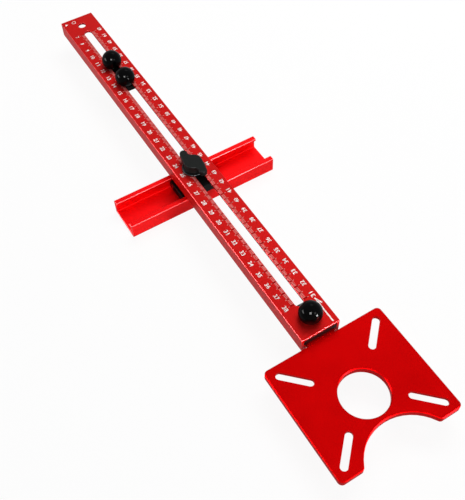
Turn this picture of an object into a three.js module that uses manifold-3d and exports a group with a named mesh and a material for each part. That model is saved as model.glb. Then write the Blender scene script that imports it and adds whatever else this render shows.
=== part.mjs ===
// Circle cutting jig for a router. A slotted aluminium bar carries a base plate for the router
// at its near end, a pivot carriage that slides in its channel, and an edge guide clamped across
// its underside.
//
// Millimetres, +Z up. X runs along the bar towards the base plate and Y across it. The origin is
// under the middle of the jig, level with the underside of the edge guide.

import * as THREE from 'three';
import { mergeVertices } from 'three/addons/utils/BufferGeometryUtils.js';
import Module from 'manifold-3d';

const wasm = await Module();
wasm.setup();

// Fits. Pieces that slide in each other have the slide clearance on each side, and pieces that
// rest on each other or are screwed into each other have the rest gap.
const slideClearance = 0.2;
const restGap = 0.3;
const cutOverrun = 1;

// Lipped channel, which both the bar and the edge guide are cut from
const channelWidth = 28;
const channelHeight = 12;
const channelWall = 1.8;
const lipThickness = 2.4;
const lipOpening = 20.1;
const channelOuterRadius = 0.6;
const channelInnerRadius = 0.8;

// Bar
const barLength = 358.2;
const slotEndInset = 24.1;
const endHoleInset = 11.7;

// Base plate
const plateLength = 78.4;
const plateWidth = 86.2;
const plateThickness = 4.8;
const plateCornerRadius = 3;
const plateEdgeChamfer = 0.4;
const plateGap = 1.7;
const bitHoleDiameter = 31.4;
const bitHoleOffset = 3.2;
const bitHoleChamfer = 0.5;
const bridgeWidth = 3.5;
const notchRadius = 30.5;
const notchFillet = 2.5;
const routerSlotInset = 7.1;
const routerSlotRun = 13.2;
const routerSlotWidth = 4.8;
const routerRecessWidth = 7.2;
const routerRecessDepth = 2.4;

// Blocks that lie in the channels
const blockChamfer = 0.5;
const plateBlockLength = 23.4;
const carriageBlockLength = 33.6;
const carriageBlockHeight = 4;
const carriageBossLength = 14;
const guideSliderLength = 34;
const clampBlockLength = 30;

// Screws and studs
const studDiameter = 6;
const studChamfer = 0.6;
const screwDiameter = 4;
const screwHeadDiameter = 7.5;
const screwHeadHeight = 2.1;
const screwHeadRim = 0.3;
const screwSpacing = 15;
const screwTipCover = 2;
const screwTipChamfer = 0.5;

// Ball knobs
const ballDiameter = 15.4;
const ballCentreHeight = 4.4;
const ballTopCover = 3;

// Pivot carriage
const carriageShare = 0.811;
const carriageStudSpacing = 23.6;
const pivotPinDiameter = 6;
const pivotPinReach = 8;
const pivotPinPoint = 1.5;
const pivotPinSeat = 7;

// Edge guide
const guideLength = 117.5;
const guideShare = 0.4242;
const boltHeadWidth = 10;
const boltHeadHeight = 4;
const boltHeadChamfer = 0.5;

// Wing knob
const wingSpan = 27;
const wingTipRadius = 2.8;
const wingHollowRadius = 3;
const wingHubDiameter = 13.2;
const wingHubSeatDiameter = 13.8;
const wingRise = 1.2;
const wingKnobHeight = 6;
const wingEdgeRadius = 0.9;
const wingTurnDegrees = 10.5;
const wingTopCover = 1.4;
const insertWall = 1.3;
const insertLength = 4;
const washerDiameter = 16.8;
const washerThickness = 1;

// Facets round a full turn, and along one rounded corner or arc
const wideFacets = 72;
const roundFacets = 32;
const screwFacets = 24;
const hexFacets = 6;
const sectionArcFacets = 3;
const outlineArcFacets = 8;
const ballArcFacets = 12;
const bevelFacets = 3;

// Heights
const guideCeiling = channelHeight - lipThickness;
const barBottom = channelHeight + restGap;
const barLipTop = barBottom + lipThickness;
const barTop = barBottom + channelHeight;
const barCeiling = barTop - channelWall;
const knobSeat = barTop + restGap;

// Places along the bar
const jigLength = barLength + plateGap + plateLength;
const barFarEnd = -jigLength / 2;
const barNearEnd = barFarEnd + barLength;
const plateEdge = barNearEnd + plateGap;
const slotFarEnd = barFarEnd + slotEndInset;
const slotNearEnd = barNearEnd - slotEndInset;
const slotLength = slotNearEnd - slotFarEnd;
const plateStudX = barNearEnd - endHoleInset;
const carriageX = slotNearEnd - carriageShare * slotLength;
const guideX = slotNearEnd - guideShare * slotLength;

// Sizes that follow from the fits
const slotWidth = studDiameter + 2 * slideClearance;
const tongueWidth = lipOpening - 2 * slideClearance;
const cavityWidth = channelWidth - 2 * channelWall;
const blockWidth = cavityWidth - 2 * restGap;
const blockBottom = barLipTop + restGap;
const blockTop = barCeiling - restGap;
const blockHeight = blockTop - blockBottom;
const carriageBossFoot = barBottom + restGap;
const studBoreRadius = studDiameter / 2 + restGap;

const red = { color: 0xcf1517, roughness: 0.42, metalness: 0.35 };
const plateRed = { color: 0xc00a0c, roughness: 0.45, metalness: 0.35 };
const black = { color: 0x161617, roughness: 0.55, metalness: 0.0 };
const glossBlack = { color: 0x0b0b0c, roughness: 0.12, metalness: 0.0 };
const steel = { color: 0xb9bbbd, roughness: 0.3, metalness: 1.0 };
const blackSteel = { color: 0x2a2b2c, roughness: 0.35, metalness: 1.0 };
const brass = { color: 0xc79a4a, roughness: 0.35, metalness: 1.0 };

// Solids

function toSolid(geometry) {
  const bare = geometry.clone();
  bare.deleteAttribute('normal');
  bare.deleteAttribute('uv');
  const merged = mergeVertices(bare);
  const corners = merged.index.array;
  const triangles = [];
  for (let i = 0; i < corners.length; i += 3) {
    const [a, b, c] = [corners[i], corners[i + 1], corners[i + 2]];
    if (a !== b && b !== c && c !== a) triangles.push(a, b, c);
  }
  return new wasm.Manifold(new wasm.Mesh({
    numProp: 3,
    vertProperties: new Float32Array(merged.attributes.position.array),
    triVerts: new Uint32Array(triangles),
  }));
}

function toGeometry(solid) {
  const mesh = solid.getMesh();
  const geometry = new THREE.BufferGeometry();
  geometry.setAttribute('position', new THREE.BufferAttribute(mesh.vertProperties, 3));
  geometry.setIndex(new THREE.BufferAttribute(mesh.triVerts, 1));
  geometry.computeVertexNormals();
  return geometry;
}

function cut(geometry, ...tools) {
  const left = tools.reduce((solid, tool) => solid.subtract(toSolid(tool)), toSolid(geometry));
  return toGeometry(left);
}

function join(geometry, ...others) {
  const whole = others.reduce((solid, other) => solid.add(toSolid(other)), toSolid(geometry));
  return toGeometry(whole);
}

// An upright rod that stands on z = 0.
function rod(radius, length, facets = roundFacets) {
  return new THREE.CylinderGeometry(radius, radius, length, facets)
    .rotateX(Math.PI / 2)
    .translate(0, 0, length / 2);
}

// A round piece about the upright axis, from [radius, height] pairs that run from the bottom up
// its outside.
function turned(profile, facets = roundFacets) {
  const points = profile.map(([radius, height]) => new THREE.Vector2(radius, height));
  return new THREE.LatheGeometry(points, facets).rotateX(Math.PI / 2);
}

// A plan outline raised by a height, with its upper and lower edges cut or rounded.
function raised(outline, height, edge, edgeFacets = 1, arcFacets = outlineArcFacets) {
  return new THREE.ExtrudeGeometry(outline, {
    depth: height - 2 * edge,
    curveSegments: arcFacets,
    bevelEnabled: edge > 0,
    bevelThickness: edge,
    bevelSize: edge,
    bevelOffset: -edge,
    bevelSegments: edgeFacets,
  }).translate(0, 0, edge);
}

// A section drawn across and up, drawn out along X on both sides of the origin.
function drawnAlongX(section, length) {
  const across = new THREE.Vector3(0, 1, 0);
  const up = new THREE.Vector3(0, 0, 1);
  const along = new THREE.Vector3(1, 0, 0);
  return new THREE.ExtrudeGeometry(section, {
    depth: length,
    curveSegments: sectionArcFacets,
    bevelEnabled: false,
  })
    .translate(0, 0, -length / 2)
    .applyMatrix4(new THREE.Matrix4().makeBasis(across, up, along));
}

// Outlines

// A closed outline with rounded corners, from [x, y, radius] triples.
function roundedOutline(corners) {
  const outline = new THREE.Shape();
  const count = corners.length;
  corners.forEach(([x, y, radius], i) => {
    const corner = new THREE.Vector2(x, y);
    const before = new THREE.Vector2(...corners[(i + count - 1) % count]);
    const after = new THREE.Vector2(...corners[(i + 1) % count]);
    const start = before.sub(corner).setLength(radius).add(corner);
    const end = after.sub(corner).setLength(radius).add(corner);
    if (i === 0) {
      outline.moveTo(start.x, start.y);
    } else {
      outline.lineTo(start.x, start.y);
    }
    if (radius > 0) outline.quadraticCurveTo(x, y, end.x, end.y);
  });
  outline.closePath();
  return outline;
}

function rectangle(width, height, radius) {
  return roundedOutline([
    [-width / 2, -height / 2, radius],
    [width / 2, -height / 2, radius],
    [width / 2, height / 2, radius],
    [-width / 2, height / 2, radius],
  ]);
}

// A slot outline along X, centred on the origin.
function slotOutline(centreDistance, width) {
  const outline = new THREE.Shape();
  outline.absarc(centreDistance / 2, 0, width / 2, -Math.PI / 2, Math.PI / 2);
  outline.absarc(-centreDistance / 2, 0, width / 2, Math.PI / 2, 3 * Math.PI / 2);
  outline.closePath();
  return outline;
}

// The channel's section, open downwards, with the lips on z = 0.
function channelSection() {
  const half = channelWidth / 2;
  const inside = cavityWidth / 2;
  const lipEdge = lipOpening / 2;
  const ceiling = channelHeight - channelWall;
  const outer = Math.min(channelOuterRadius, channelWall / 2);
  const inner = Math.min(channelInnerRadius, (inside - lipEdge) / 2);
  const rounding = Math.min(outer, (inside - lipEdge) / 2);
  return roundedOutline([
    [lipEdge, 0, rounding],
    [half, 0, outer],
    [half, channelHeight, outer],
    [-half, channelHeight, outer],
    [-half, 0, outer],
    [-lipEdge, 0, rounding],
    [-lipEdge, lipThickness, rounding],
    [-inside, lipThickness, inner],
    [-inside, ceiling, inner],
    [inside, ceiling, inner],
    [inside, lipThickness, inner],
    [lipEdge, lipThickness, rounding],
  ]);
}

// Bar and base plate

function barGeometry() {
  const depth = channelWall + 2 * cutOverrun;
  const floor = channelHeight - channelWall - cutOverrun;
  const slot = raised(slotOutline(slotLength, slotWidth), depth, 0)
    .translate((slotFarEnd + slotNearEnd - barFarEnd - barNearEnd) / 2, 0, floor);
  const holes = [-1, 1].map((side) => rod(slotWidth / 2, depth)
    .translate(side * (barLength / 2 - endHoleInset), 0, floor));
  return cut(drawnAlongX(channelSection(), barLength), slot, ...holes);
}

// The plate's outline, with x = 0 on its edge beside the bar. The tongue runs back under the
// bar, and the round notch is cut into the far edge with a fillet at each end.
function plateOutline() {
  const half = plateWidth / 2;
  const tongueHalf = tongueWidth / 2;
  const tongueEnd = plateStudX - plateBlockLength / 2 - plateEdge;
  const notchX = notchCentre();
  const fillet = Math.min(notchFillet, (half - notchRadius) / 2);
  const reach = notchRadius + fillet;
  const rise = Math.sqrt(reach ** 2 - (notchX - plateLength + fillet) ** 2);
  const lean = Math.atan2(rise, plateLength - fillet - notchX);
  const corner = plateCornerRadius;
  const outline = new THREE.Shape();
  outline.moveTo(tongueEnd, -tongueHalf);
  outline.lineTo(0, -tongueHalf);
  outline.lineTo(0, corner - half);
  outline.absarc(corner, corner - half, corner, Math.PI, 3 * Math.PI / 2);
  outline.absarc(plateLength - corner, corner - half, corner, -Math.PI / 2, 0);
  outline.absarc(plateLength - fillet, -rise, fillet, 0, Math.PI - lean);
  outline.absarc(notchX, 0, notchRadius, -lean, lean, true);
  outline.absarc(plateLength - fillet, rise, fillet, lean - Math.PI, 0);
  outline.absarc(plateLength - corner, half - corner, corner, 0, Math.PI / 2);
  outline.absarc(corner, half - corner, corner, Math.PI / 2, Math.PI);
  outline.lineTo(0, tongueHalf);
  outline.lineTo(tongueEnd, tongueHalf);
  outline.closePath();
  return outline;
}

function bitHoleCentre() {
  return plateLength / 2 + bitHoleOffset;
}

function notchCentre() {
  return bitHoleCentre() + bitHoleDiameter / 2 + bridgeWidth + notchRadius;
}

// The hole over the cutter, with a chamfered upper edge.
function bitHoleTool() {
  const radius = bitHoleDiameter / 2;
  const flare = bitHoleChamfer + cutOverrun;
  return turned([
    [0, -cutOverrun],
    [radius, -cutOverrun],
    [radius, plateThickness - bitHoleChamfer],
    [radius + flare, plateThickness + cutOverrun],
    [0, plateThickness + cutOverrun],
  ], wideFacets);
}

// One of the four slots for the router's base screws: a through slot with a wider recess for the
// screw heads on the underside. It runs at half a right angle, in from a corner of the plate.
function routerSlotTools(xSide, ySide) {
  const middle = routerSlotInset + routerSlotRun / 2;
  const run = routerSlotRun * Math.SQRT2;
  const x = plateLength / 2 + xSide * (plateLength / 2 - middle);
  const y = ySide * (plateWidth / 2 - middle);
  const through = raised(slotOutline(run, routerSlotWidth), plateThickness + 2 * cutOverrun, 0);
  const recess = raised(slotOutline(run, routerRecessWidth), routerRecessDepth + cutOverrun, 0);
  return [through, recess].map((tool) => tool
    .rotateZ(xSide * ySide * Math.PI / 4)
    .translate(x, y, -cutOverrun));
}

function screwPlaces() {
  return [-1, 1].map((side) => side * screwSpacing / 2);
}

// A countersunk screw's outline, head down, with the given gap all round.
function screwProfile(gap) {
  const head = screwHeadDiameter / 2 + gap;
  const shank = screwDiameter / 2 + gap;
  const tip = screwLength() + gap;
  return [
    [0, -gap],
    [head, -gap],
    [head, screwHeadRim],
    [shank, screwHeadHeight],
    [shank, tip - screwTipChamfer],
    [shank - screwTipChamfer, tip],
    [0, tip],
  ];
}

function screwLength() {
  return blockTop - barBottom - screwTipCover;
}

function basePlateGeometry() {
  const studX = plateStudX - plateEdge;
  const slots = [[-1, -1], [-1, 1], [1, -1], [1, 1]].flatMap(([x, y]) => routerSlotTools(x, y));
  const screws = screwPlaces().map((x) => turned(screwProfile(restGap), screwFacets)
    .translate(studX + x, 0, 0));
  const studBore = rod(studBoreRadius, plateThickness + 2 * cutOverrun)
    .translate(studX, 0, -cutOverrun);
  return cut(
    raised(plateOutline(), plateThickness, plateEdgeChamfer),
    bitHoleTool().translate(bitHoleCentre(), 0, 0),
    ...slots,
    ...screws,
    studBore,
  );
}

// Blocks

// A plain block that lies lengthwise in the bar's channel, standing on z = 0.
function channelBlock(length, height) {
  return drawnAlongX(rectangle(blockWidth, height, blockChamfer), length)
    .translate(0, 0, height / 2);
}

function throughBore(radius, height) {
  return rod(radius, height + 2 * cutOverrun).translate(0, 0, -cutOverrun);
}

function plateBlockGeometry(height) {
  const screwDepth = barBottom - (blockTop - height);
  const screws = screwPlaces().map((x) => turned(screwProfile(restGap), screwFacets)
    .translate(x, 0, screwDepth));
  const block = channelBlock(plateBlockLength, height);
  return cut(block, throughBore(studBoreRadius, height), ...screws);
}

// A block under the bar's ceiling, with a boss that reaches down between the lips to the given
// foot and keeps the block from turning. It is drawn at its own height in the jig.
function bossedBlock(length, height, bossLength, foot) {
  const boss = raised(
    rectangle(bossLength, tongueWidth, blockChamfer),
    blockTop - height / 2 - foot,
    0,
  ).translate(0, 0, foot);
  return join(channelBlock(length, height).translate(0, 0, blockTop - height), boss);
}

// The carriage's block is a plate under the ceiling, and its boss holds the pivot pin.
function carriageBlockGeometry() {
  const studs = [-1, 1].map((side) => throughBore(studBoreRadius, blockHeight)
    .translate(side * carriageStudSpacing / 2, 0, blockBottom));
  const pinSeat = rod(pivotPinDiameter / 2 + restGap, pivotPinSeat + restGap + cutOverrun)
    .translate(0, 0, carriageBossFoot - cutOverrun);
  const block = bossedBlock(
    carriageBlockLength,
    carriageBlockHeight,
    carriageBossLength,
    carriageBossFoot,
  );
  return cut(block, ...studs, pinSeat);
}

// The guide's slider lies in the bar, and its square boss reaches down between the lips of the
// bar and of the guide, so that it keeps the two at a right angle.
function guideSliderGeometry() {
  const foot = guideCeiling;
  const bore = throughBore(studBoreRadius, blockTop - foot).translate(0, 0, foot);
  return cut(bossedBlock(guideSliderLength, blockHeight, tongueWidth, foot), bore);
}

// The clamp block lies in the guide's channel. A six-sided pocket in its underside keeps the
// bolt's head from turning.
function clampBlockGeometry() {
  const height = clampBlockHeight();
  const pocket = hexagon(boltHeadWidth + 2 * restGap, boltHeadHeight + restGap + cutOverrun)
    .translate(0, 0, -cutOverrun);
  const block = channelBlock(clampBlockLength, height).rotateZ(Math.PI / 2);
  return cut(block, pocket, throughBore(studBoreRadius, height));
}

function clampBlockHeight() {
  return guideCeiling - channelWall - 2 * restGap;
}

// A six-sided prism, sized across its flats.
function hexagon(width, height) {
  return rod(width / 2 / Math.cos(Math.PI / hexFacets), height, hexFacets);
}

// Studs, screws and pins

// A stud that stands on z = 0, with both ends chamfered.
function studGeometry(length) {
  const radius = studDiameter / 2;
  return turned([
    [0, 0],
    [radius - studChamfer, 0],
    [radius, studChamfer],
    [radius, length - studChamfer],
    [radius - studChamfer, length],
    [0, length],
  ], screwFacets);
}

// The pin's pointed end is its lower one, on z = 0.
function pivotPinGeometry(length) {
  const radius = pivotPinDiameter / 2;
  const tip = radius - pivotPinPoint;
  return turned([
    [0, 0],
    [tip, 0],
    [radius, pivotPinPoint],
    [radius, length],
    [0, length],
  ], screwFacets);
}

function guideBoltGeometry(length) {
  const flat = boltHeadWidth / 2;
  const head = hexagon(boltHeadWidth, boltHeadHeight);
  const rounding = turned([
    [0, 0],
    [flat, 0],
    [flat + 2 * boltHeadChamfer, 2 * boltHeadChamfer],
    [flat + 2 * boltHeadChamfer, boltHeadHeight],
    [0, boltHeadHeight],
  ], screwFacets);
  const chamfered = toGeometry(toSolid(head).intersect(toSolid(rounding)));
  return join(chamfered, studGeometry(length));
}

// A flat ring that stands on z = 0.
function ringGeometry(outerRadius, innerRadius, height) {
  return turned([
    [innerRadius, 0],
    [outerRadius, 0],
    [outerRadius, height],
    [innerRadius, height],
    [innerRadius, 0],
  ]);
}

// Knobs

// A ball cut flat underneath, with a blind bore for the stud that is moulded into it.
function ballKnobGeometry() {
  const radius = ballDiameter / 2;
  const foot = Math.asin(ballCentreHeight / radius);
  const ball = Array.from({ length: ballArcFacets + 1 }, (_, i) => {
    const angle = (i / ballArcFacets) * (foot + Math.PI / 2) - foot;
    return [radius * Math.cos(angle), ballCentreHeight + radius * Math.sin(angle)];
  });
  ball[ballArcFacets][0] = 0;
  const boreTop = ballBoreDepth();
  return turned([[0, boreTop], [studBoreRadius, boreTop], [studBoreRadius, 0], ...ball]);
}

function ballBoreDepth() {
  return ballCentreHeight + ballDiameter / 2 - ballTopCover;
}

// The wing knob's plan: a round hub with a round tip on each side. Each wing leaves the hub in a
// straight line on one side and in a hollow arc on the other, like an S.
function wingOutline() {
  const hub = wingHubDiameter / 2;
  const tipX = wingSpan / 2 - wingTipRadius;
  const hubSide = hub + wingHollowRadius;
  const tipSide = wingTipRadius + wingHollowRadius;
  const hubLean = Math.acos((hubSide ** 2 + tipX ** 2 - tipSide ** 2) / (2 * hubSide * tipX));
  const hollowX = hubSide * Math.cos(hubLean);
  const hollowY = hubSide * Math.sin(hubLean);
  const tipLean = Math.atan2(hollowY, hollowX - tipX);
  const straightLean = Math.acos((hub - wingTipRadius) / tipX);
  const outline = new THREE.Shape();
  for (const side of [0, 1]) {
    const turn = side * Math.PI;
    const sign = 1 - 2 * side;
    outline.absarc(sign * tipX, 0, wingTipRadius, turn - tipLean, turn + straightLean);
    outline.absarc(0, 0, hub, turn + straightLean, turn + Math.PI - hubLean);
    outline.absarc(
      -sign * hollowX,
      sign * hollowY,
      wingHollowRadius,
      turn - hubLean,
      turn - tipLean,
      true,
    );
  }
  outline.closePath();
  return outline;
}

function wingKnobGeometry() {
  const wings = raised(
    wingOutline(),
    wingKnobHeight - wingRise,
    wingEdgeRadius,
    bevelFacets,
  ).translate(0, 0, wingRise);
  const hub = turned([
    [0, 0],
    [wingHubSeatDiameter / 2, 0],
    [wingHubDiameter / 2 - wingEdgeRadius, wingKnobHeight - wingEdgeRadius],
    [0, wingKnobHeight - wingEdgeRadius],
  ]);
  const insertSeat = rod(insertRadius() + restGap, insertLength + restGap + cutOverrun)
    .translate(0, 0, -cutOverrun);
  const boltEnd = rod(studBoreRadius, wingBoreDepth() + cutOverrun).translate(0, 0, -cutOverrun);
  return cut(join(wings, hub), insertSeat, boltEnd);
}

function insertRadius() {
  return studBoreRadius + insertWall;
}

function wingBoreDepth() {
  return wingKnobHeight - wingTopCover;
}

// The jig

function piece(name, geometry, look, position, turn = 0) {
  const mesh = new THREE.Mesh(geometry, new THREE.MeshStandardMaterial(look));
  mesh.name = name;
  mesh.position.set(...position);
  mesh.rotation.z = turn;
  return mesh;
}

function group(...members) {
  const whole = new THREE.Group();
  whole.add(...members);
  return whole;
}

// A ball knob and its stud. The stud's lower end stands on the given height.
function ballClamp(knobName, studName, x, studBottom) {
  const studTop = knobSeat + ballBoreDepth() - restGap;
  return group(
    piece(knobName, ballKnobGeometry(), glossBlack, [x, 0, knobSeat]),
    piece(studName, studGeometry(studTop - studBottom), steel, [x, 0, studBottom]),
  );
}

function plateAssembly() {
  const blockSeat = barBottom + plateThickness + restGap;
  const blockX = plateStudX;
  const screws = screwPlaces().map((x, i) => piece(
    `plate_screw_${i + 1}`,
    turned(screwProfile(0), screwFacets),
    steel,
    [plateStudX + x, 0, barBottom],
  ));
  return group(
    piece('base_plate', basePlateGeometry(), plateRed, [plateEdge, 0, barBottom]),
    piece('plate_block', plateBlockGeometry(blockTop - blockSeat), black, [blockX, 0, blockSeat]),
    ...screws,
    ballClamp('plate_knob', 'plate_stud', plateStudX, barBottom),
  );
}

function carriageAssembly() {
  const pinTop = carriageBossFoot + pivotPinSeat;
  const pinBottom = barBottom - pivotPinReach;
  const clamps = [-1, 1].map((side, i) => ballClamp(
    `carriage_knob_${i + 1}`,
    `carriage_stud_${i + 1}`,
    carriageX + side * carriageStudSpacing / 2,
    blockTop - carriageBlockHeight,
  ));
  return group(
    piece('carriage_block', carriageBlockGeometry(), black, [carriageX, 0, 0]),
    piece('pivot_pin', pivotPinGeometry(pinTop - pinBottom), steel, [carriageX, 0, pinBottom]),
    ...clamps,
  );
}

function guideChannelGeometry() {
  return drawnAlongX(channelSection(), guideLength)
    .rotateX(Math.PI)
    .rotateZ(Math.PI / 2)
    .translate(0, 0, channelHeight);
}

function guideAssembly() {
  const clampSeat = channelWall + restGap;
  const headSeat = clampSeat + restGap;
  const washerSeat = barTop + restGap;
  const wingSeat = washerSeat + washerThickness + restGap;
  const boltTop = wingSeat + wingBoreDepth() - restGap;
  const turn = THREE.MathUtils.degToRad(wingTurnDegrees);
  const insert = ringGeometry(insertRadius(), studBoreRadius, insertLength);
  const washer = ringGeometry(washerDiameter / 2, studBoreRadius, washerThickness);
  return group(
    piece('guide_channel', guideChannelGeometry(), red, [guideX, 0, 0]),
    piece('guide_slider', guideSliderGeometry(), black, [guideX, 0, 0]),
    piece('guide_clamp_block', clampBlockGeometry(), black, [guideX, 0, clampSeat]),
    piece('guide_bolt', guideBoltGeometry(boltTop - headSeat), steel, [guideX, 0, headSeat]),
    piece('guide_washer', washer, blackSteel, [guideX, 0, washerSeat]),
    piece('wing_insert', insert, brass, [guideX, 0, wingSeat]),
    piece('wing_knob', wingKnobGeometry(), black, [guideX, 0, wingSeat], turn),
  );
}

function barAssembly() {
  const middle = (barFarEnd + barNearEnd) / 2;
  return group(piece('bar', barGeometry(), red, [middle, 0, barBottom]));
}

export default group(barAssembly(), plateAssembly(), carriageAssembly(), guideAssembly());
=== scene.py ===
"""Circle cutting jig, dressed for a studio picture.

A slotted red aluminium bar with a printed centimetre scale, a base plate clamped to its near end,
a pivot carriage with two ball knobs, and an edge guide held across it by a wing knob.
"""

import math

import bpy
from bpy.props import FloatProperty, FloatVectorProperty, PointerProperty
from mathutils import Euler, Matrix, Vector


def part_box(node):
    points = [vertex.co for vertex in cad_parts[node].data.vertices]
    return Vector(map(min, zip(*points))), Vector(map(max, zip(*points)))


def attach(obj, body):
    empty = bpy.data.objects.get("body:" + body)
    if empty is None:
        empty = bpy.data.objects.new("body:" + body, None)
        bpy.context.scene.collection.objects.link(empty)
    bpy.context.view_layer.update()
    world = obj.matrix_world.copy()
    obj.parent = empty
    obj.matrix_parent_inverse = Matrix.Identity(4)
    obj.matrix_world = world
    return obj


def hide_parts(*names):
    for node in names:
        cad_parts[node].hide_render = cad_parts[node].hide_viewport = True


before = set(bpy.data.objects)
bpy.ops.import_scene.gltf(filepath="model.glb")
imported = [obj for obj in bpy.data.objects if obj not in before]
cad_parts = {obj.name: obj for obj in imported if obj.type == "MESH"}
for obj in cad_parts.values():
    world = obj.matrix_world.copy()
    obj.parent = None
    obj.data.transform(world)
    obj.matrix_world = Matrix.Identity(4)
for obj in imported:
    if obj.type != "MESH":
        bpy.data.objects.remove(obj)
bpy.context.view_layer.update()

bl_info = {
    "name": "Circle Cutting Jig",
    "version": (1, 0, 0),
    "blender": (4, 5, 0),
    "location": "3D View > Sidebar > Circle Jig",
    "description": "Finishes, printed scale, knobs and threads for a circle cutting jig",
    "category": "Object",
}

MM = 0.001
CENTIMETRE = 10 * MM
MERGE = MM / 1000

# The numbers at the scale's near end. The front row counts down from there, the back row up.
FRONT_FIRST = 38
BACK_FIRST = 31
# The width of a number of one digit, as a share of one of two.
ONE_DIGIT = 0.45

# How finely the round pieces are made.
BALL_SEGMENTS = 96
THREAD_STEPS = 32
RING_POINTS = 32

# How much a stud narrows at its tips, and a cross recess at its bottom, along and across an arm.
TIP_SHARE = 0.82
RECESS_TAPER = (0.35, 0.6, 1.0)

# A wave texture turns through this many radians in one unit of its scale.
WAVE_TURN = 20

# The lamps that face the jig's middle: their turn and slope in degrees and their distance, their
# width and height, and whether they light its faces or only show in the glossy ones.
LIGHTS = "lights"
SHOWS = "shows"
LAMPS = (
    ("panel", (131, 51, 1.2), (0.4, 0.4), SHOWS),
    ("key", (128, 52, 1.4), (1.4, 0.45), LIGHTS),
    ("top_box", (110, 75, 1.2), (0.5, 0.5), LIGHTS),
    ("front_box", (17, 36, 1.2), (0.3, 0.3), SHOWS),
    ("left_box", (-115, 16, 1.2), (0.62, 0.3), SHOWS),
    ("right_box", (20, 18, 1.2), (0.5, 0.5), LIGHTS),
    ("glint", (16, 11, 0.4), (0.07, 0.07), SHOWS),
    ("window", (-32, 48, 0.9), (0.28, 0.28), SHOWS),
)
TABLE_PLACE = (0, -0.41, MM)
TABLE_SIZE = (1.4, 0.76)
FLOOR_SIZE = 6
FLOOR_DROP = 0.2 * MM
# The share of plain white where the paper is seen. The rest keeps the jig's shadow.
PAPER_GLOW = 0.93
# The camera's sensor is given in millimetres, as Blender takes it.
SENSOR = 36
NEAREST_SEEN = 10 * MM
WHITE = (1.0, 1.0, 1.0, 1.0)

BAR_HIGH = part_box("bar")[1]


def linear(hex_colour):
    """Turns an sRGB hex colour into the linear RGBA that a shader takes."""
    channels = [int(hex_colour[i:i + 2], 16) / 255 for i in (1, 3, 5)]
    curve = [c / 12.92 if c <= 0.04045 else ((c + 0.055) / 1.055) ** 2.4 for c in channels]
    return (*curve, 1.0)


def length(name, description, default_mm):
    """A size that a user can change, given in millimetres and held in metres."""
    return FloatProperty(
        name=name,
        description=description,
        default=default_mm * MM,
        unit="LENGTH",
        subtype="DISTANCE",
        precision=5,
    )


def angle(name, description, default_degrees):
    """An angle that a user can change, given in degrees and held in radians."""
    return FloatProperty(
        name=name,
        description=description,
        default=math.radians(default_degrees),
        unit="ROTATION",
        subtype="ANGLE",
    )


def brightness(name, description, default):
    """How bright a lamp's face is, where 1 is white."""
    return FloatProperty(
        name=name,
        description=description + ", where 1 is white",
        default=default,
        min=0.0,
    )


def colour(name, description, hex_colour):
    """A colour that a user can change, given as sRGB hex."""
    return FloatVectorProperty(
        name=name,
        description=description,
        default=linear(hex_colour),
        size=4,
        subtype="COLOR",
        min=0.0,
        max=1.0,
    )


class CircleJigPrint(bpy.types.PropertyGroup):
    """Sizes of what is printed on the bar."""

    scale_inset: length("Scale inset", "From the bar's end to the scale's first mark", 24.1)
    scale_span: length("Scale span", "Between the first and the last mark", 310.0)
    digit_height: length("Digit height", "Height of the printed digits", 3.0)
    digit_width: length("Number width", "Width of a printed number of two digits", 3.9)
    digit_weight: length("Digit weight", "How much bolder the digits' strokes are", 0.08)
    left_row: length("Left row", "From the slot's middle to the front row of numbers", 9.9)
    right_row: length("Right row", "From the slot's middle to the back row of numbers", 10.2)
    tick_start: length("Tick start", "From the slot's middle to the foot of every tick", 3.5)
    tick_width: length("Tick width", "Width of a printed tick", 0.4)
    millimetre_tick: length("Millimetre tick", "From the slot's middle to a tick's end", 5.6)
    half_tick: length("Half tick", "From the slot's middle to a half centimetre's end", 6.6)
    centimetre_tick: length("Centimetre tick", "From the slot's middle to a centimetre's end", 7.5)
    arrow_row: length("Arrow row", "From the slot's middle to the arrow's shaft", 10.1)
    arrow_width: length("Arrow width", "Width of the arrow's shaft and of its barb", 1.0)
    arrow_tip: length("Arrow tip", "From the scale's first mark to the arrow's tip", 5.0)
    arrow_tail: length("Arrow tail", "From the scale's first mark to the arrow's tail", 22.6)
    barb_place: length("Barb place", "From the scale's first mark to the barb's middle", 5.6)
    barb_rise: length("Barb rise", "From the arrow's shaft to the barb's middle", 0.8)
    barb_length: length("Barb length", "Length of the arrow's barb", 5.6)
    barb_lean: angle("Barb lean", "Between the arrow's shaft and its barb", 22)
    ring_place: length("Ring place", "From the scale's first mark to the far ring", 329.3)
    ring_row: length("Ring row", "From the slot's middle to the far ring", 4.3)
    ring_radius: length("Ring radius", "Outer radius of the far ring", 1.7)
    ring_line: length("Ring line", "Width of the far ring's line", 0.35)
    pointer_place: length("Pointer place", "From the scale's first mark to the pointer", 329.5)
    pointer_row: length("Pointer row", "From the slot's middle to the far pointer", 11.0)
    pointer_radius: length("Pointer radius", "From the pointer's middle to its corners", 1.6)
    ink: length("Ink", "How far the print stands above the metal", 0.02)


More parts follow.
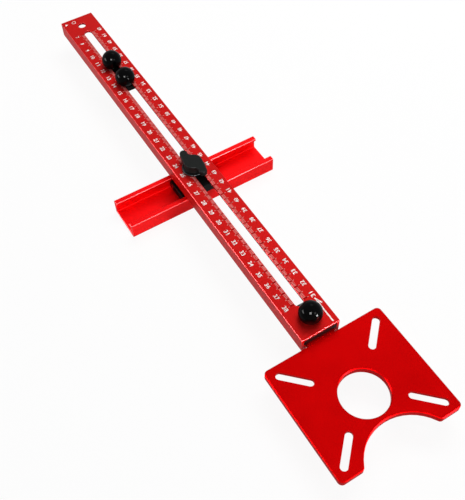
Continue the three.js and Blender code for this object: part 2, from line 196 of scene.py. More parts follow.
class CircleJigSizes(bpy.types.PropertyGroup):
    """Sizes of what is rounded, turned and cut on the jig."""

    # The roundings of this width on the bar and the guide take the lighter edge colour, which is in
    # part a painted highlight.
    edge_round: length("Edge round", "Burnished edge on the cut aluminium", 0.4)
    block_round: length("Block round", "Rounding on the sliding blocks", 0.4)
    wing_round: length("Wing round", "Rounding on the wing knob and its insert", 0.2)
    wing_blend: length("Wing blend", "Cell size that the wing knob's forms are blended in", 0.22)
    turned_round: length("Turned round", "Rounding on the bolt, the washer and the pin", 0.15)
    screw_round: length("Screw round", "Rounding on the countersunk screws", 0.08)
    ball_foot: length("Ball foot", "Height of the foot under a ball knob", 0.4)
    foot_step: length("Foot step", "From the edge of a ball's flat in to its foot", 0.5)
    thread_pitch: length("Thread pitch", "Pitch of the studs' thread", 1.0)
    thread_depth: length("Thread depth", "Depth of the studs' thread", 0.55)
    stud_tip: length("Stud tip", "Length of the cone at a stud's ends", 0.5)
    recess_depth: length("Recess depth", "Depth of the screws' cross recess", 2.2)
    recess_span: length("Recess span", "From end to end of a recess's arm", 4.3)
    recess_arm: length("Recess arm", "Width of a recess's arm", 1.0)
    recess_turn: angle("Recess turn", "How far the screws' recesses are turned", 25)


class CircleJigColours(bpy.types.PropertyGroup):
    """Colours of the finishes."""

    bar_red: colour("Bar red", "Dyed finish of the bar", "#bd1312")
    plate_red: colour("Plate red", "Dyed finish of the base plate", "#a60203")
    guide_red: colour("Guide red", "Dyed finish of the edge guide", "#e60e12")
    # A lighter pink for the bar's and guide's edges: partly burnished metal under the dye, partly a
    # painted highlight.
    edge_burnish_and_highlight_red: colour("Edge red", "Burnished edges under the dye", "#d84c4e")
    print_white: colour("Print white", "The printed scale", "#fff2ee")
    tick_white: colour("Tick white", "The fine ticks, where the ink is thin", "#dc8a84")
    gloss_black: colour("Gloss black", "Ball knobs", "#050506")
    satin_black: colour("Satin black", "Wing knob", "#131514")
    block_black: colour("Block black", "Sliding blocks", "#070707")
    zinc: colour("Zinc", "Screws, studs and pin", "#c9cacb")
    black_oxide: colour("Black oxide", "Washer of the edge guide", "#3a3b3d")
    brass: colour("Brass", "Threaded insert", "#c9a45c")
    floor: colour("Floor", "Floor of the studio", "#f4f4f4")


class CircleJigStage(bpy.types.PropertyGroup):
    """Where the camera and the lamps stand."""

    camera_place: FloatVectorProperty(
        name="Camera place",
        description="Where the camera stands",
        default=(300.1 * MM, -149.2 * MM, 412.7 * MM),
        subtype="TRANSLATION",
        unit="LENGTH",
    )
    camera_turn: FloatVectorProperty(
        name="Camera turn",
        description="How the camera is turned",
        default=[math.radians(degrees) for degrees in (35.382, 1.514, 58.569)],
        subtype="EULER",
        unit="ROTATION",
    )
    lens: FloatProperty(
        name="Lens",
        description=f"Focal length in millimetres on a sensor {SENSOR} mm wide",
        default=52.5,
    )
    sky: brightness("Sky", "Plain light from all round", 0.04)
    panel: brightness("Panel", "Lamp behind the jig that only glossy faces show", 3.0)
    key: brightness("Key", "Lamp behind the jig that casts its shadow", 9.0)
    top_box: brightness("Top box", "Lamp high over the jig", 3.5)
    # This lamp's reflection is real; the edges that show it are also painted lighter, partly as a
    # painted highlight.
    front_box: brightness("Front box", "Soft lamp that the burnished edges show", 16.0)
    left_box: brightness("Left box", "Lamp low on the jig's front side, for gloss only", 30.0)
    right_box: brightness("Right box", "Soft lamp low beyond the plate", 5.5)
    table: brightness("Table", "Light table before the jig", 1.0)
    glint: brightness("Glint", "Small lamp low beyond the plate, for gloss only", 210.0)
    window: brightness("Window", "Small lamp over the camera, for gloss only", 100.0)


# Working with objects


def only(obj):
    """Selects one object and nothing else."""
    bpy.ops.object.select_all(action="DESELECT")
    obj.select_set(True)
    bpy.context.view_layer.objects.active = obj


def added(name):
    """Names the object that was just added."""
    obj = bpy.context.object
    obj.name = name
    obj.data.name = name
    return obj


def apply_modifier(obj, kind, **settings):
    """Adds a modifier with its settings and applies it."""
    only(obj)
    modifier = obj.modifiers.new(kind.lower(), kind)
    for key, value in settings.items():
        setattr(modifier, key, value)
    bpy.ops.object.modifier_apply(modifier=modifier.name)


def select_faces(obj, test):
    """In edit mode, selects the faces that pass a test on their middle and normal."""
    bpy.ops.object.mode_set(mode="OBJECT")
    for vertex in obj.data.vertices:
        vertex.select = False
    for edge in obj.data.edges:
        edge.select = False
    for face in obj.data.polygons:
        face.select = test(obj.matrix_world @ face.center, face.normal)
    bpy.ops.object.mode_set(mode="EDIT")
    bpy.ops.mesh.select_mode(type="FACE")


def into_mesh(obj):
    """Moves an object's place, turn and scale into its mesh."""
    only(obj)
    bpy.ops.object.transform_apply(location=True, rotation=True, scale=True)


def face_outwards(obj):
    """Merges doubled points and turns every face outwards."""
    only(obj)
    bpy.ops.object.mode_set(mode="EDIT")
    bpy.ops.mesh.select_all(action="SELECT")
    bpy.ops.mesh.remove_doubles(threshold=MERGE)
    bpy.ops.mesh.normals_make_consistent(inside=False)
    bpy.ops.object.mode_set(mode="OBJECT")


def smooth(obj, degrees=35):
    """Shades smooth across edges that turn less than an angle."""
    only(obj)
    bpy.ops.object.shade_smooth_by_angle(angle=math.radians(degrees))


def joined(name, pieces):
    """Joins pieces into one named object."""
    bpy.ops.object.select_all(action="DESELECT")
    for piece in pieces:
        piece.select_set(True)
    bpy.context.view_layer.objects.active = pieces[0]
    bpy.ops.object.join()
    return added(name)


def finish_piece(obj, body, slot, material, *nodes):
    """Gives a piece its material if it has none, puts it on the body that it rides on, and hides
    the solids that it stands in for.
    """
    into_mesh(obj)
    if not obj.data.materials:
        obj.data.materials.append(material)
    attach(obj, body)
    if nodes:
        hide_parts(*nodes)


def dressed_copy(node, name, width, *materials):
    """A copy of a solid, with its flat faces made whole and its sharp edges rounded. The last of
    its materials goes on the roundings."""
    obj = bpy.data.objects.new(name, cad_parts[node].data.copy())
    obj.data.name = name
    obj.data.materials.clear()
    for material in materials:
        obj.data.materials.append(material)
    bpy.context.scene.collection.objects.link(obj)
    only(obj)
    bpy.ops.object.mode_set(mode="EDIT")
    bpy.ops.mesh.select_all(action="SELECT")
    bpy.ops.mesh.remove_doubles(threshold=MERGE)
    bpy.ops.mesh.dissolve_limited(angle_limit=math.radians(1))
    bpy.ops.object.mode_set(mode="OBJECT")
    apply_modifier(
        obj,
        "BEVEL",
        width=width,
        segments=3,
        limit_method="ANGLE",
        angle_limit=math.radians(40),
        use_clamp_overlap=True,
        miter_outer="MITER_ARC",
        material=len(materials) - 1,
    )
    smooth(obj)
    apply_modifier(obj, "WEIGHTED_NORMAL", keep_sharp=True)
    return obj


# Materials


def add_node(material, kind, links=None, **settings):
    """Adds one shader node. Settings are its options or its sockets' values, and links join a
    socket of it to another node's output, as socket: (node, output)."""
    tree = material.node_tree
    node = tree.nodes.new(kind)
    for key, value in settings.items():
        if hasattr(node, key):
            setattr(node, key, value)
        else:
            node.inputs[key.replace("_", " ")].default_value = value
    for socket, (source, output) in (links or {}).items():
        tree.links.new(source.outputs[output], node.inputs[socket])
    return node


def new_material(name):
    """An empty material that is made of nodes."""
    material = bpy.data.materials.new(name)
    material.use_nodes = True
    material.node_tree.nodes.clear()
    return material


def output(material, shader):
    """Joins a shader to its material's output."""
    add_node(material, "ShaderNodeOutputMaterial", {"Surface": (shader, 0)})
    return material


def tinted(rgba, factor):
    """A colour made lighter or darker by a factor."""
    return (*[min(1.0, c * factor) for c in rgba[:3]], 1.0)


def anodised_aluminium(name, rgba, roughness, metal, sheen):
    """Bead-blasted aluminium under a dyed oxide layer. Part of the light comes back scattered by
    the dye and part from the metal under it, so both are the same deep red, and the clear top of
    the oxide adds a thin pale sheen where it is seen at a slant."""
    material = new_material(name)
    drift = 18 * MM  # the dye takes a little unevenly along an extrusion
    blast = 0.4 * MM  # 0.05 mm on the real one, drawn coarser so that it shows
    dyed_shine = (0.6, 0.04, 0.04, 1.0)  # the dye colours what the metal mirrors as well
    place = add_node(material, "ShaderNodeTexCoord")
    clouds = add_node(
        material, "ShaderNodeTexNoise", {"Vector": (place, "Object")},
        Scale=1 / drift, Detail=3.0, Roughness=0.5,
    )
    grain = add_node(
        material, "ShaderNodeTexNoise", {"Vector": (place, "Object")},
        Scale=1 / blast, Detail=2.0, Roughness=0.6,
    )
    tone = add_node(
        material, "ShaderNodeMix", {"Factor": (clouds, "Fac")}, data_type="RGBA",
    )
    tone.inputs[6].default_value = tinted(rgba, 0.93)
    tone.inputs[7].default_value = tinted(rgba, 1.07)
    gloss = add_node(
        material, "ShaderNodeMapRange", {"Value": (clouds, "Fac")},
        To_Min=roughness - 0.04, To_Max=roughness + 0.05,
    )
    bump = add_node(
        material, "ShaderNodeBump", {"Height": (grain, "Fac")},
        Strength=0.12, Distance=0.02 * MM,
    )
    shader = add_node(
        material, "ShaderNodeBsdfPrincipled",
        {"Base Color": (tone, 2), "Roughness": (gloss, "Result"), "Normal": (bump, "Normal")},
        Metallic=metal,
        Specular_IOR_Level=0.08,
        Specular_Tint=dyed_shine,
        Coat_Weight=sheen,
        Coat_Roughness=0.35,
    )
    return output(material, shader)


def moulded_plastic(name, rgba, roughness, grain, depth, shine, ior=1.5):
    """Moulded plastic: an even colour all through, with the tool's own fine texture, polished
    on the ball knobs, so that they stay black but for small sharp glints, and spark-eroded on
    the wing knob, which looks a soft dark grey."""
    material = new_material(name)
    place = add_node(material, "ShaderNodeTexCoord")
    texture = add_node(
        material, "ShaderNodeTexNoise", {"Vector": (place, "Object")},
        Scale=1 / grain, Detail=4.0, Roughness=0.6,
    )
    tone = add_node(material, "ShaderNodeMix", {"Factor": (texture, "Fac")}, data_type="RGBA")
    tone.inputs[6].default_value = tinted(rgba, 0.85)
    tone.inputs[7].default_value = tinted(rgba, 1.15)
    gloss = add_node(
        material, "ShaderNodeMapRange", {"Value": (texture, "Fac")},
        To_Min=roughness * 0.85, To_Max=roughness * 1.15,
    )
    bump = add_node(
        material, "ShaderNodeBump", {"Height": (texture, "Fac")},
        Strength=depth, Distance=0.03 * MM,
    )
    shader = add_node(
        material, "ShaderNodeBsdfPrincipled",
        {"Base Color": (tone, 2), "Roughness": (gloss, "Result"), "Normal": (bump, "Normal")},
        IOR=ior,
        Specular_IOR_Level=shine,
    )
    return output(material, shader)


def plated_metal(name, rgba, roughness):
    """Turned metal, zinc plated or bare: bright, with faint blotches in its shine and fine
    turning marks round it."""
    material = new_material(name)
    blotch = 1.6 * MM
    feed = 0.377 * MM  # about 0.1 mm on the real one, drawn coarser so that it shows
    place = add_node(material, "ShaderNodeTexCoord")
    blotches = add_node(
        material, "ShaderNodeTexNoise", {"Vector": (place, "Object")},
        Scale=1 / blotch, Detail=3.0,
    )
    marks = add_node(
        material, "ShaderNodeTexWave", {"Vector": (place, "Object")},
        Scale=math.tau / (WAVE_TURN * feed), Distortion=1.5, bands_direction="Z",
    )
    tone = add_node(material, "ShaderNodeMix", {"Factor": (blotches, "Fac")}, data_type="RGBA")
    tone.inputs[6].default_value = tinted(rgba, 0.82)
    tone.inputs[7].default_value = tinted(rgba, 1.06)
    gloss = add_node(
        material, "ShaderNodeMapRange", {"Value": (blotches, "Fac")},
        To_Min=roughness * 0.7, To_Max=roughness * 1.3,
    )
    bump = add_node(
        material, "ShaderNodeBump", {"Height": (marks, "Fac")},
        Strength=0.08, Distance=0.01 * MM,
    )
    shader = add_node(
        material, "ShaderNodeBsdfPrincipled",
        {"Base Color": (tone, 2), "Roughness": (gloss, "Result"), "Normal": (bump, "Normal")},
        Metallic=1.0,
    )
    return output(material, shader)


def printed_ink(name, rgba):
    """Screen-printed ink: matt, a little thin over the metal in places."""
    material = new_material(name)
    thin_spot = 0.5 * MM
    place = add_node(material, "ShaderNodeTexCoord")
    cover = add_node(
        material, "ShaderNodeTexNoise", {"Vector": (place, "Object")},
        Scale=1 / thin_spot, Detail=2.0,
    )
    tone = add_node(material, "ShaderNodeMix", {"Factor": (cover, "Fac")}, data_type="RGBA")
    tone.inputs[6].default_value = tinted(rgba, 0.86)
    tone.inputs[7].default_value = tinted(rgba, 1.05)
    shader = add_node(
        material, "ShaderNodeBsdfPrincipled", {"Base Color": (tone, 2)},
        Roughness=0.6,
    )
    return output(material, shader)


def seen_straight(material):
    """Is 1 for what the camera, a shiny face or glass shows, and 0 for what lights the jig."""
    rays = add_node(material, "ShaderNodeLightPath")
    mirrored = add_node(
        material, "ShaderNodeMath", {0: (rays, "Is Camera Ray"), 1: (rays, "Is Glossy Ray")},
        operation="MAXIMUM",
    )
    return add_node(
        material, "ShaderNodeMath", {0: (mirrored, 0), 1: (rays, "Is Transmission Ray")},
        operation="MAXIMUM",
    )


def studio_floor(name, rgba):
    """White paper. The camera and the shiny faces see it almost evenly bright, with the jig's
    soft shadow left on it, and it lights the jig as the lamps light it."""
    material = new_material(name)
    share = add_node(
        material, "ShaderNodeMapRange", {"Value": (seen_straight(material), 0)},
        To_Min=0.0, To_Max=PAPER_GLOW,
    )
    paper = add_node(material, "ShaderNodeBsdfDiffuse", Color=rgba)
    glow = add_node(material, "ShaderNodeEmission", Color=WHITE, Strength=1.0)
    blend = add_node(
        material, "ShaderNodeMixShader", {0: (share, "Result"), 1: (paper, 0), 2: (glow, 0)}
    )
    return output(material, blend)


def material_named(name):
    """Returns one of the jig's materials, and makes it the first time."""
    if name in bpy.data.materials:
        return bpy.data.materials[name]
    paint = bpy.context.scene.circle_jig_colours
    makers = {
        "bar_anodised_red": lambda: anodised_aluminium(
            name, paint.bar_red, roughness=0.42, metal=0.2, sheen=0.03
        ),
        "plate_anodised_red": lambda: anodised_aluminium(
            name, paint.plate_red, roughness=0.35, metal=0.7, sheen=0.0
        ),
        "guide_anodised_red": lambda: anodised_aluminium(
            name, paint.guide_red, roughness=0.45, metal=0.3, sheen=0.04
        ),
        # Lighter, glossier pink on the edges: partly burnished metal, partly a painted highlight
        # along the top edges.
        "burnished_edge_and_highlight": lambda: anodised_aluminium(
            name, paint.edge_burnish_and_highlight_red, roughness=0.3, metal=0.9, sheen=0.1
        ),
        "scale_ink": lambda: printed_ink(name, paint.print_white),
        "tick_ink": lambda: printed_ink(name, paint.tick_white),
        "polished_phenolic": lambda: moulded_plastic(
            name, paint.gloss_black, roughness=0.06, grain=6 * MM, depth=0.02, shine=0.07, ior=1.3
        ),
        "textured_nylon": lambda: moulded_plastic(
            name, paint.satin_black, roughness=0.5, grain=0.5 * MM, depth=0.35, shine=0.07
        ),
        "black_acetal": lambda: moulded_plastic(
            name, paint.block_black, roughness=0.4, grain=0.8 * MM, depth=0.1, shine=0.05
        ),
        "zinc_plated_steel": lambda: plated_metal(name, paint.zinc, roughness=0.25),
        "black_oxide_steel": lambda: plated_metal(name, paint.black_oxide, roughness=0.3),
        "turned_brass": lambda: plated_metal(name, paint.brass, roughness=0.3),
        "studio_paper": lambda: studio_floor(name, paint.floor),
    }
    return makers[name]()


def anodised_copy(node, name, finish):
    """A copy of an extrusion, with its edges a lighter pink, partly burnished metal and partly a
    painted highlight.
    Its long edges are rounded already, so their slanted faces near its top only take that lighter
    pink."""
    edge = bpy.context.scene.circle_jig_sizes.edge_round
    obj = dressed_copy(node, name, edge, material_named(finish), material_named("burnished_edge_and_highlight"))
    low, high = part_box(node)
    # Painted highlight: the slanted faces in the upper half take the lighter edge colour.
    upright, level = 0.1, 0.98
    for face in obj.data.polygons:
        if upright < face.normal.z < level and face.center.z > (low.z + high.z) / 2:
            face.material_index = 1
    return obj


# Pieces


class CIRCLEJIG_OT_bar(bpy.types.Operator):
    """Makes the bar, with its cut edges broken"""

    bl_idname = "circle_jig.bar"
    bl_label = "Bar"

    def execute(self, context):
        bar = anodised_copy("bar", "bar_extrusion", "bar_anodised_red")
        finish_piece(bar, "frame", "bar_red", None, "bar")
        return {"FINISHED"}


def printed_bar(name, middle, span, lean=0.0):
    """A thin slab of ink on the bar, given by its middle and its two sides."""
    ink = bpy.context.scene.circle_jig_print.ink
    bpy.ops.mesh.primitive_cube_add(size=1, location=(*middle, BAR_HIGH.z))
    slab = added(name)
    slab.scale = (*span, 2 * ink)
    slab.rotation_euler.z = lean
    into_mesh(slab)
    return slab


def printed_text(words, place, turn):
    """A number in ink, scaled to the printed height and width."""
    sizes = bpy.context.scene.circle_jig_print
    height = sizes.digit_height
    width = sizes.digit_width * (ONE_DIGIT if len(words) == 1 else 1.0)
    bpy.ops.object.select_all(action="DESELECT")
    bpy.ops.object.text_add()
    text = bpy.context.object
    text.data.body = words
    text.data.size = height
    text.data.align_x = "CENTER"
    text.data.align_y = "CENTER"
    text.data.resolution_u = 3
    text.data.offset = sizes.digit_weight
    bpy.ops.object.convert(target="MESH")
    number = added("number_" + words)
    corners = [vertex.co for vertex in number.data.vertices]
    low = Vector([min(c[i] for c in corners) for i in range(3)])
    high = Vector([max(c[i] for c in corners) for i in range(3)])
    number.data.transform(Matrix.Translation(-(low + high) / 2))
    number.scale = (width / (high.x - low.x), height / (high.y - low.y), 1)
    number.rotation_euler.z = turn
    number.location = (*place, BAR_HIGH.z)
    into_mesh(number)
    apply_modifier(number, "SOLIDIFY", thickness=2 * sizes.ink, offset=0)
    return number


class CIRCLEJIG_OT_scale(bpy.types.Operator):
    """Prints the centimetre scale, its two rows of numbers and its arrow on the bar"""

    bl_idname = "circle_jig.scale"
    bl_label = "Printed Scale"

    def execute(self, context):
        sizes = context.scene.circle_jig_print
        zero = BAR_HIGH.x - sizes.scale_inset
        ink = material_named("scale_ink")
        front = self.numbers(sizes, zero, "front", -sizes.left_row, FRONT_FIRST, -1, 0.0)
        finish_piece(front, "frame", "bar_red", ink)
        back = self.numbers(sizes, zero, "back", sizes.right_row, BACK_FIRST, 1, math.pi)
        finish_piece(back, "frame", "bar_red", ink)
        faint = material_named("tick_ink")
        finish_piece(self.ticks(sizes, zero), "frame", "bar_red", faint)
        finish_piece(self.arrow(sizes, zero), "frame", "bar_red", ink)
        finish_piece(self.end_marks(sizes, zero), "frame", "bar_red", ink)
        return {"FINISHED"}

    def numbers(self, sizes, zero, row, offset, first, count_by, turn):
        """One row of numbers, from the near end of the scale to the far one."""
        numbers = []
        for step in range(round(sizes.scale_span / CENTIMETRE) + 1):
            place = (zero - step * CENTIMETRE, offset)
            numbers.append(printed_text(str(first + step * count_by), place, turn))
        return joined(f"scale_numbers_{row}", numbers)

    def ticks(self, sizes, zero):
        """The ticks on both sides of the slot, each row modelled once and repeated."""
        rows = []
        for side in (-1, 1):
            for outer, step in (
                (sizes.millimetre_tick, MM),
                (sizes.half_tick, CENTIMETRE / 2),
                (sizes.centimetre_tick, CENTIMETRE),
            ):
                middle = (zero, side * (sizes.tick_start + outer) / 2)
                row = printed_bar("ticks", middle, (sizes.tick_width, outer - sizes.tick_start))
                apply_modifier(
                    row,
                    "ARRAY",
                    count=round(sizes.scale_span / step) + 1,
                    use_relative_offset=False,
                    use_constant_offset=True,
                    constant_offset_displace=(-step, 0, 0),
                )
                rows.append(row)
        return joined("scale_ticks", rows)

    def arrow(self, sizes, zero):
        """The arrow beside the near knob, with a single barb."""
        row = sizes.arrow_row
        shaft = printed_bar(
            "shaft",
            (zero + (sizes.arrow_tip + sizes.arrow_tail) / 2, row),
            (sizes.arrow_tail - sizes.arrow_tip, sizes.arrow_width),
        )
        barb = printed_bar(
            "barb",
            (zero + sizes.barb_place, row + sizes.barb_rise),
            (sizes.barb_length, sizes.arrow_width),
            sizes.barb_lean,
        )
        return joined("scale_arrow", [shaft, barb])

    def end_marks(self, sizes, zero):
        """The ring and the small pointer at the far end, which say what the front row reads."""
        bpy.ops.mesh.primitive_circle_add(
            vertices=RING_POINTS,
            radius=sizes.ring_radius,
            fill_type="NGON",
            location=(zero - sizes.ring_place, -sizes.ring_row, BAR_HIGH.z),
        )
        ring = added("ring")
        only(ring)
        bpy.ops.object.mode_set(mode="EDIT")
        bpy.ops.mesh.select_all(action="SELECT")
        bpy.ops.mesh.inset(thickness=sizes.ring_line)
        bpy.ops.mesh.delete(type="FACE")
        bpy.ops.object.mode_set(mode="OBJECT")
        apply_modifier(ring, "SOLIDIFY", thickness=2 * sizes.ink, offset=0)
        bpy.ops.mesh.primitive_cylinder_add(
            vertices=3,
            radius=sizes.pointer_radius,
            depth=2 * sizes.ink,
            location=(zero - sizes.pointer_place, -sizes.pointer_row, BAR_HIGH.z),
        )
        pointer = added("pointer")
        return joined("scale_end_marks", [ring, pointer])


class CIRCLEJIG_OT_base_plate(bpy.types.Operator):
    """Makes the base plate, with its cut edges broken"""

    bl_idname = "circle_jig.base_plate"
    bl_label = "Base Plate"

    def execute(self, context):
        edge = context.scene.circle_jig_sizes.edge_round
        red = material_named("plate_anodised_red")
        plate = dressed_copy("base_plate", "router_plate", edge, red)
        finish_piece(plate, "frame", "plate_red", red, "base_plate")
        return {"FINISHED"}


class CIRCLEJIG_OT_edge_guide(bpy.types.Operator):
    """Makes the edge guide's channel, with its cut edges broken"""

    bl_idname = "circle_jig.edge_guide"
    bl_label = "Edge Guide"

    def execute(self, context):
        guide = anodised_copy("guide_channel", "guide_extrusion", "guide_anodised_red")
        finish_piece(guide, "edge_guide", "guide_red", None, "guide_channel")
        return {"FINISHED"}


class CIRCLEJIG_OT_blocks(bpy.types.Operator):
    """Makes the four black blocks that lie in the channels"""

    bl_idname = "circle_jig.blocks"
    bl_label = "Sliding Blocks"

    def execute(self, context):
        sizes = context.scene.circle_jig_sizes
        black = material_named("black_acetal")
        bodies = {
            "plate_block": "frame",
            "carriage_block": "carriage",
            "guide_slider": "guide_clamp",
            "guide_clamp_block": "guide_clamp",
        }
        for node, body in bodies.items():
            block = dressed_copy(node, node + "_moulded", sizes.block_round)
            finish_piece(block, body, "black_block", black, node)
        return {"FINISHED"}


class CIRCLEJIG_OT_ball_knobs(bpy.types.Operator):
    """Makes the three polished ball knobs"""

    bl_idname = "circle_jig.ball_knobs"
    bl_label = "Ball Knobs"

    def execute(self, context):
        sizes = context.scene.circle_jig_sizes
        black = material_named("polished_phenolic")
        bodies = {
            "plate_knob": "plate_clamp",
            "carriage_knob_1": "carriage_clamp_1",
            "carriage_knob_2": "carriage_clamp_2",
        }
        for node, body in bodies.items():
            finish_piece(self.ball(sizes, node), body, "ball_black", black, node)
        return {"FINISHED"}

    def ball(self, sizes, node):
        """A ball cut flat underneath, with a small foot under it."""
        low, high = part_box(node)
        radius = (high.x - low.x) / 2
        middle = Vector(((low.x + high.x) / 2, 0, high.z - radius))
        foot = sizes.ball_foot
        bpy.ops.object.select_all(action="DESELECT")
        bpy.ops.mesh.primitive_uv_sphere_add(
            segments=BALL_SEGMENTS, ring_count=BALL_SEGMENTS // 2, radius=radius, location=middle
        )
        ball = added(node + "_ball")
        into_mesh(ball)
        bpy.ops.object.mode_set(mode="EDIT")
        bpy.ops.mesh.select_all(action="SELECT")
        bpy.ops.mesh.bisect(
            plane_co=(0, 0, low.z + foot), plane_no=(0, 0, 1), use_fill=True, clear_inner=True
        )
        select_faces(ball, lambda centre, normal: normal.z < -0.99)
        bpy.ops.mesh.inset(thickness=sizes.foot_step)
        bpy.ops.mesh.extrude_region_move(TRANSFORM_OT_translate={"value": (0, 0, -foot)})
        bpy.ops.object.mode_set(mode="OBJECT")
        face_outwards(ball)
        smooth(ball)
        return ball


class CIRCLEJIG_OT_wing_knob(bpy.types.Operator):
    """Makes the wing knob, with its moulded roundings, and its brass insert"""

    bl_idname = "circle_jig.wing_knob"
    bl_label = "Wing Knob"

    def execute(self, context):
        sizes = context.scene.circle_jig_sizes
        knob = dressed_copy("wing_knob", "wing_knob_moulded", sizes.wing_round)
        apply_modifier(knob, "REMESH", mode="VOXEL", voxel_size=sizes.wing_blend, adaptivity=0.0)
        apply_modifier(knob, "SMOOTH", factor=0.5, iterations=8)
        smooth(knob, 60)
        black = material_named("textured_nylon")
        finish_piece(knob, "wing", "wing_black", black, "wing_knob")
        insert = dressed_copy("wing_insert", "wing_insert_turned", sizes.wing_round)
        finish_piece(insert, "wing", "brass", material_named("turned_brass"), "wing_insert")
        return {"FINISHED"}


class CIRCLEJIG_OT_studs(bpy.types.Operator):
    """Makes the threaded studs and the guide's bolt and washer"""

    bl_idname = "circle_jig.studs"
    bl_label = "Studs and Bolt"

    def execute(self, context):
        sizes = context.scene.circle_jig_sizes
        steel = material_named("zinc_plated_steel")
        bodies = {
            "plate_stud": "plate_clamp",
            "carriage_stud_1": "carriage_clamp_1",
            "carriage_stud_2": "carriage_clamp_2",
        }
        for node, body in bodies.items():
            finish_piece(self.stud(sizes, node), body, "bright_steel", steel, node)
        bolt = dressed_copy("guide_bolt", "guide_bolt_plated", sizes.turned_round, steel)
        finish_piece(bolt, "guide_clamp", "bright_steel", steel, "guide_bolt")
        black = material_named("black_oxide_steel")
        washer = dressed_copy("guide_washer", "guide_washer_blacked", sizes.turned_round, black)
        finish_piece(washer, "guide_clamp", "black_steel", black, "guide_washer")
        return {"FINISHED"}

    def stud(self, sizes, node):
        """A stud with a real thread, wound by the screw modifier and cut off at both ends."""
        low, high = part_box(node)
        crest = (high.x - low.x) / 2
        root = crest - sizes.thread_depth
        pitch = sizes.thread_pitch
        tip = sizes.stud_tip
        flank = bpy.data.meshes.new(node + "_thread")
        flank.from_pydata(
            [(root, 0, 0), (crest, 0, pitch / 2), (root, 0, pitch)], [(0, 1), (1, 2)], []
        )
        stud = bpy.data.objects.new(node + "_threaded", flank)
        bpy.context.scene.collection.objects.link(stud)
        stud.location = ((low.x + high.x) / 2, 0, low.z - pitch)
        apply_modifier(
            stud,
            "SCREW",
            axis="Z",
            angle=math.tau,
            screw_offset=pitch,
            iterations=math.ceil((high.z - low.z) / pitch) + 2,
            steps=THREAD_STEPS,
            render_steps=THREAD_STEPS,
            use_merge_vertices=True,
            merge_threshold=MERGE,
        )
        into_mesh(stud)
        for height, side in ((low.z + tip, 1), (high.z - tip, -1)):
            only(stud)
            bpy.ops.object.mode_set(mode="EDIT")
            bpy.ops.mesh.select_all(action="SELECT")
            bpy.ops.mesh.bisect(
                plane_co=(0, 0, height), plane_no=(0, 0, side), use_fill=True, clear_inner=True
            )
            select_faces(
                stud,
                lambda centre, normal: abs(centre.z - height) < 10 * MERGE and abs(normal.z) > 0.99,
            )
            bpy.ops.mesh.extrude_region_move(TRANSFORM_OT_translate={"value": (0, 0, -side * tip)})
            bpy.ops.transform.resize(value=(TIP_SHARE, TIP_SHARE, 1.0))
            bpy.ops.object.mode_set(mode="OBJECT")
        face_outwards(stud)
        smooth(stud, 40)
        return stud


class CIRCLEJIG_OT_screws(bpy.types.Operator):
    """Makes the two countersunk screws with their cross recesses"""

    bl_idname = "circle_jig.screws"
    bl_label = "Plate Screws"

    def execute(self, context):
        sizes = context.scene.circle_jig_sizes
        steel = material_named("zinc_plated_steel")
        for node in ("plate_screw_1", "plate_screw_2"):
            screw = dressed_copy(node, node + "_plated", sizes.screw_round)
            recess = self.cross(sizes, node)
            apply_modifier(screw, "BOOLEAN", operation="DIFFERENCE", solver="EXACT", object=recess)
            bpy.data.objects.remove(recess)
            smooth(screw)
            finish_piece(screw, "frame", "bright_steel", steel, node)
        return {"FINISHED"}

    def cross(self, sizes, node):
        """The tapered cross that the driver leaves room for."""
        low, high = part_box(node)
        middle = (low + high) / 2
        arms = []
        for turn in (0, math.pi / 2):
            bpy.ops.object.select_all(action="DESELECT")
            bpy.ops.mesh.primitive_cube_add(size=1, location=(middle.x, 0, low.z))
            arm = added("recess_arm")
            arm.scale = (sizes.recess_span, sizes.recess_arm, 2 * sizes.recess_depth)
            into_mesh(arm)
            select_faces(arm, lambda centre, normal: normal.z > 0.99)
            bpy.ops.transform.resize(value=RECESS_TAPER)
            bpy.ops.object.mode_set(mode="OBJECT")
            arm.data.transform(
                Matrix.Translation((middle.x, 0, 0))
                @ Matrix.Rotation(turn + sizes.recess_turn, 4, "Z")
                @ Matrix.Translation((-middle.x, 0, 0))
            )
            arms.append(arm)
        apply_modifier(arms[0], "BOOLEAN", operation="UNION", solver="EXACT", object=arms[1])
        bpy.data.objects.remove(arms[1])
        return arms[0]


class CIRCLEJIG_OT_pivot_pin(bpy.types.Operator):
    """Makes the pin that the jig turns about"""

    bl_idname = "circle_jig.pivot_pin"
    bl_label = "Pivot Pin"

    def execute(self, context):
        sizes = context.scene.circle_jig_sizes
        pin = dressed_copy("pivot_pin", "pivot_pin_ground", sizes.turned_round)
        steel = material_named("zinc_plated_steel")
        finish_piece(pin, "carriage", "bright_steel", steel, "pivot_pin")
        return {"FINISHED"}


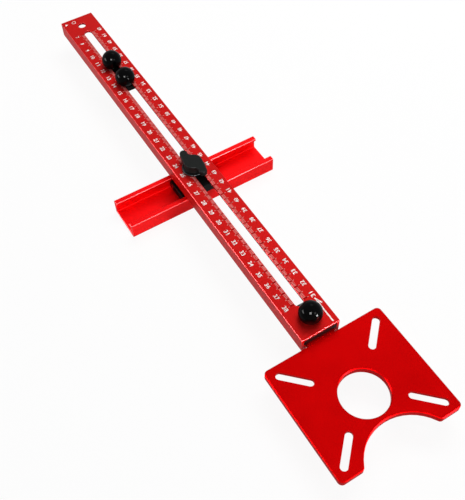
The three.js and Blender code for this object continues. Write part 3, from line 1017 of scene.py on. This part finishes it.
class CIRCLEJIG_OT_stage(bpy.types.Operator):
    """Sets the floor, the lamps, the sky and the camera"""

    bl_idname = "circle_jig.stage"
    bl_label = "Stage"

    def execute(self, context):
        settings = context.scene.circle_jig_stage
        self.floor()
        self.sky(context, settings.sky)
        for name, bearing, size, role in LAMPS:
            lamp = self.lamp_facing_jig(name, bearing, size, getattr(settings, name))
            lamp.visible_diffuse = role == LIGHTS
            lamp.visible_glossy = role == SHOWS
        table = self.lamp("table", TABLE_PLACE, TABLE_SIZE, settings.table)
        table.rotation_euler.x = math.pi
        table.visible_glossy = False
        self.camera(context, settings)
        context.scene.view_settings.view_transform = "Standard"
        return {"FINISHED"}

    def floor(self):
        """The sheet of paper, just under the edge guide."""
        bpy.ops.object.select_all(action="DESELECT")
        bpy.ops.mesh.primitive_plane_add(size=FLOOR_SIZE, location=(0, 0, -FLOOR_DROP))
        paper = added("studio_floor")
        into_mesh(paper)
        paper.data.materials.append(material_named("studio_paper"))

    def sky(self, context, strength):
        """Even light from all round, which the camera sees as white."""
        world = bpy.data.worlds.new("studio_sky")
        context.scene.world = world
        world.use_nodes = True
        world.node_tree.nodes.clear()
        level = add_node(
            world, "ShaderNodeMapRange", {"Value": (seen_straight(world), 0)},
            To_Min=strength, To_Max=1.0,
        )
        light = add_node(
            world, "ShaderNodeBackground", {"Strength": (level, "Result")},
            Color=WHITE,
        )
        add_node(world, "ShaderNodeOutputWorld", {"Surface": (light, 0)})

    def lamp(self, name, place, size, bright):
        """A soft flat lamp that faces down, given by the brightness of its face."""
        bpy.ops.object.light_add(type="AREA", location=place)
        lamp = added(name)
        lamp.data.shape = "RECTANGLE"
        lamp.data.size, lamp.data.size_y = size
        lamp.data.energy = bright * math.pi * size[0] * size[1]
        lamp.visible_camera = False
        return lamp

    def lamp_facing_jig(self, name, bearing, size, bright):
        """A lamp that faces the middle of the jig from a turn, a slope and a distance."""
        turn, slope, distance = bearing
        place = Vector((distance, 0, 0))
        place.rotate(Euler((0, math.radians(-slope), math.radians(turn))))
        lamp = self.lamp(name, place, size, bright)
        lamp.rotation_euler = (-place).to_track_quat("-Z", "Y").to_euler()
        return lamp

    def camera(self, context, settings):
        """The camera, where the photo was taken from."""
        bpy.ops.object.camera_add(location=settings.camera_place, rotation=settings.camera_turn)
        camera = added("studio_camera")
        camera.data.lens = settings.lens
        camera.data.sensor_width = SENSOR
        camera.data.clip_start = NEAREST_SEEN
        context.scene.camera = camera


class CIRCLEJIG_PT_panel(bpy.types.Panel):
    """Lists the pieces in the sidebar"""

    bl_idname = "CIRCLEJIG_PT_panel"
    bl_label = "Circle Cutting Jig"
    bl_space_type = "VIEW_3D"
    bl_region_type = "UI"
    bl_category = "Circle Jig"

    def draw(self, context):
        layout = self.layout
        for operator in OPERATORS:
            layout.operator(operator.bl_idname)
        for name in GROUPS:
            group = getattr(context.scene, name)
            box = layout.box()
            for key in group.__annotations__:
                box.prop(group, key)


OPERATORS = (
    CIRCLEJIG_OT_bar,
    CIRCLEJIG_OT_scale,
    CIRCLEJIG_OT_base_plate,
    CIRCLEJIG_OT_edge_guide,
    CIRCLEJIG_OT_blocks,
    CIRCLEJIG_OT_ball_knobs,
    CIRCLEJIG_OT_wing_knob,
    CIRCLEJIG_OT_studs,
    CIRCLEJIG_OT_screws,
    CIRCLEJIG_OT_pivot_pin,
    CIRCLEJIG_OT_stage,
)
GROUPS = {
    "circle_jig_print": CircleJigPrint,
    "circle_jig_sizes": CircleJigSizes,
    "circle_jig_colours": CircleJigColours,
    "circle_jig_stage": CircleJigStage,
}


def register():
    for cls in (*GROUPS.values(), *OPERATORS, CIRCLEJIG_PT_panel):
        bpy.utils.register_class(cls)
    for name, group in GROUPS.items():
        setattr(bpy.types.Scene, name, PointerProperty(type=group))


def unregister():
    for name in GROUPS:
        delattr(bpy.types.Scene, name)
    for cls in (CIRCLEJIG_PT_panel, *reversed(OPERATORS), *GROUPS.values()):
        bpy.utils.unregister_class(cls)


def main():
    register()
    bpy.ops.circle_jig.bar()
    bpy.ops.circle_jig.scale()
    bpy.ops.circle_jig.base_plate()
    bpy.ops.circle_jig.edge_guide()
    bpy.ops.circle_jig.blocks()
    bpy.ops.circle_jig.ball_knobs()
    bpy.ops.circle_jig.wing_knob()
    bpy.ops.circle_jig.studs()
    bpy.ops.circle_jig.screws()
    bpy.ops.circle_jig.pivot_pin()
    bpy.ops.circle_jig.stage()


if __name__ == "__main__":
    main()
